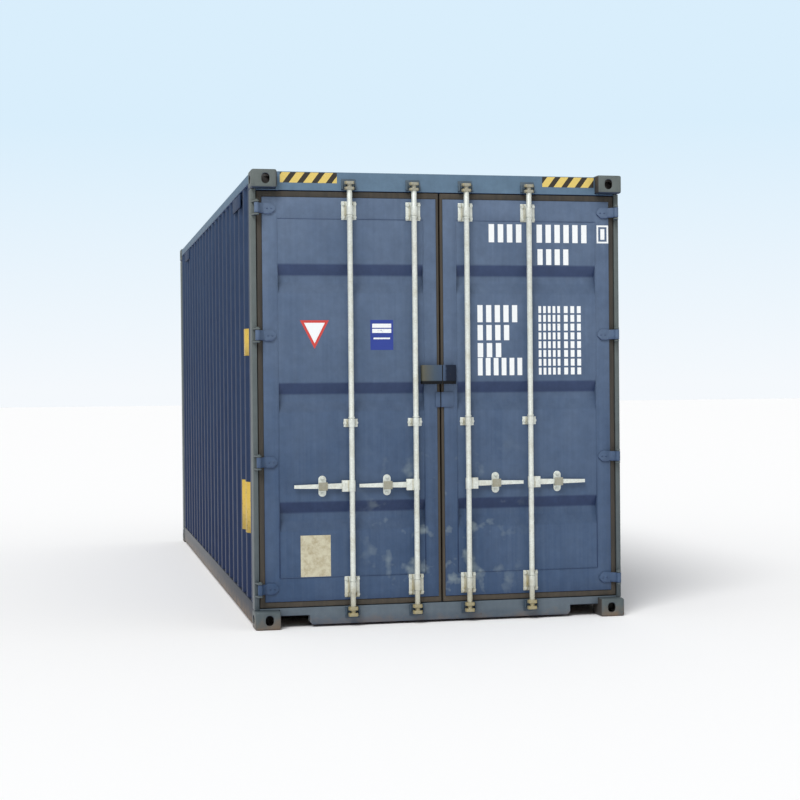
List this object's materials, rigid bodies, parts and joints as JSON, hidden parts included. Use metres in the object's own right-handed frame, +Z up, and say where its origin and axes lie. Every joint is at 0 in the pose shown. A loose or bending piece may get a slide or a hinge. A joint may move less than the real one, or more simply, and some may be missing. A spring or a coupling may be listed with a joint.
{
  "type": "shipping container",
  "caption": "Steel freight container with corrugated walls, outward-swinging doors on full-height locking bars, and corner castings for lifting and stacking.",
  "frame": {"origin": "middle of the footprint, at the underside of the bottom corner castings", "axes": "+Z up, +Y along the container from the doors to the closed front wall, +X across it; the doors face -Y"},
  "size_m": [2.438, 6.058, 2.896],
  "materials": {
    "body_paint": "worn satin blue paint",
    "door_paint": "worn satin blue paint",
    "post_paint": "weathered grey-blue paint",
    "underframe_paint": "dark underframe paint",
    "galvanised": "galvanised steel",
    "rubber": "weathered rubber",
    "dark_paint": "dark blue paint",
    "plywood": "oiled plywood"
  },
  "bodies": {
    "container": {"corner_castings_bottom": "post_paint", "corner_castings_top": "post_paint", "rear_post_left": "post_paint", "rear_post_right": "post_paint", "front_post_left": "post_paint", "front_post_right": "post_paint", "door_header": "body_paint", "door_sill": "body_paint", "front_top_rail": "body_paint", "front_bottom_rail": "body_paint", "top_rail_left": "body_paint", "top_rail_right": "body_paint", "bottom_rail_left": "body_paint", "bottom_rail_right": "body_paint", "side_wall_left": "body_paint", "side_wall_right": "body_paint", "front_wall": "body_paint", "roof": "body_paint", "floor": "plywood", "cross_members": "underframe_paint", "vents": "body_paint", "hinge_lugs_left": "post_paint", "hinge_lugs_right": "post_paint", "cam_keepers": "galvanised"},
    "left_door": {"door_frame_left": "door_paint", "door_panel_left": "door_paint", "door_gasket_left": "rubber", "hinge_blades_left": "door_paint", "bar_brackets_left": "galvanised", "handle_keepers_left": "galvanised", "lock_box_left": "dark_paint"},
    "right_door": {"door_frame_right": "door_paint", "door_panel_right": "door_paint", "door_gasket_right": "rubber", "hinge_blades_right": "door_paint", "bar_brackets_right": "galvanised", "handle_keepers_right": "galvanised", "lock_box_right": "dark_paint"},
    "bar_1": {"lock_bar_1": "galvanised", "cams_1": "galvanised"},
    "lever_1": {"handle_1": "galvanised"},
    "bar_2": {"lock_bar_2": "galvanised", "cams_2": "galvanised"},
    "lever_2": {"handle_2": "galvanised"},
    "bar_3": {"lock_bar_3": "galvanised", "cams_3": "galvanised"},
    "lever_3": {"handle_3": "galvanised"},
    "bar_4": {"lock_bar_4": "galvanised", "cams_4": "galvanised"},
    "lever_4": {"handle_4": "galvanised"}
  },
  "joints": [
    {"name": "left_door_hinge", "type": "hinge", "parent": "container", "child": "left_door", "pos_m": [-1.186, -3.011, 1.454], "axis": [0, 0, -1], "range_deg": [0, 265]},
    {"name": "right_door_hinge", "type": "hinge", "parent": "container", "child": "right_door", "pos_m": [1.186, -3.011, 1.454], "axis": [0, 0, 1], "range_deg": [0, 265]},
    {"name": "bar_1_turn", "type": "hinge", "parent": "left_door", "child": "bar_1", "pos_m": [-0.592, -3.005, 1.45], "axis": [0, 0, -1], "range_deg": [-105, 0]},
    {"name": "lever_1_lift", "type": "hinge", "parent": "bar_1", "child": "lever_1", "pos_m": [-0.638, -2.991, 0.895], "axis": [0, 1, 0], "range_deg": [0, 20]},
    {"name": "bar_2_turn", "type": "hinge", "parent": "left_door", "child": "bar_2", "pos_m": [-0.173, -3.005, 1.45], "axis": [0, 0, -1], "range_deg": [-105, 0]},
    {"name": "lever_2_lift", "type": "hinge", "parent": "bar_2", "child": "lever_2", "pos_m": [-0.219, -2.991, 0.895], "axis": [0, 1, 0], "range_deg": [0, 20]},
    {"name": "bar_3_turn", "type": "hinge", "parent": "right_door", "child": "bar_3", "pos_m": [0.173, -3.005, 1.45], "axis": [0, 0, 1], "range_deg": [-105, 0]},
    {"name": "lever_3_lift", "type": "hinge", "parent": "bar_3", "child": "lever_3", "pos_m": [0.219, -2.991, 0.895], "axis": [0, -1, 0], "range_deg": [0, 20]},
    {"name": "bar_4_turn", "type": "hinge", "parent": "right_door", "child": "bar_4", "pos_m": [0.592, -3.005, 1.45], "axis": [0, 0, 1], "range_deg": [-105, 0]},
    {"name": "lever_4_lift", "type": "hinge", "parent": "bar_4", "child": "lever_4", "pos_m": [0.638, -2.991, 0.895], "axis": [0, -1, 0], "range_deg": [0, 20]}
  ]
}
